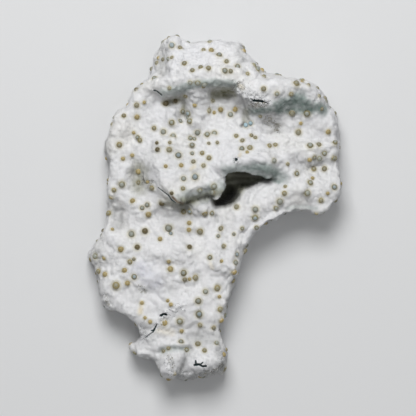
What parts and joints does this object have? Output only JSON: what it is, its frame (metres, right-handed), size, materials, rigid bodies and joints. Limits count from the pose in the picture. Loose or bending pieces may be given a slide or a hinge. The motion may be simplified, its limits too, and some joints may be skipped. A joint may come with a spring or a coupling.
{
  "type": "okenite plate with gyrolite balls",
  "caption": "Irregular plate of white felted okenite, rolled into ledges round a deep hollow and dotted with small round gyrolite balls, lying on its flat cut back.",
  "frame": {"origin": "centre of the bounding box's bottom face, on the plane of the cut back", "axes": "+Z away from the cut back, +Y along the long side towards the crown with the rolled ledges, +X towards the broad side beyond the deep hollow"},
  "size_m": [0.0889, 0.1209, 0.0308],
  "materials": {
    "okenite_felt": "matte felted fibres"
  },
  "bodies": {
    "root": {"okenite_plate": "okenite_felt"}
  },
  "joints": []
}
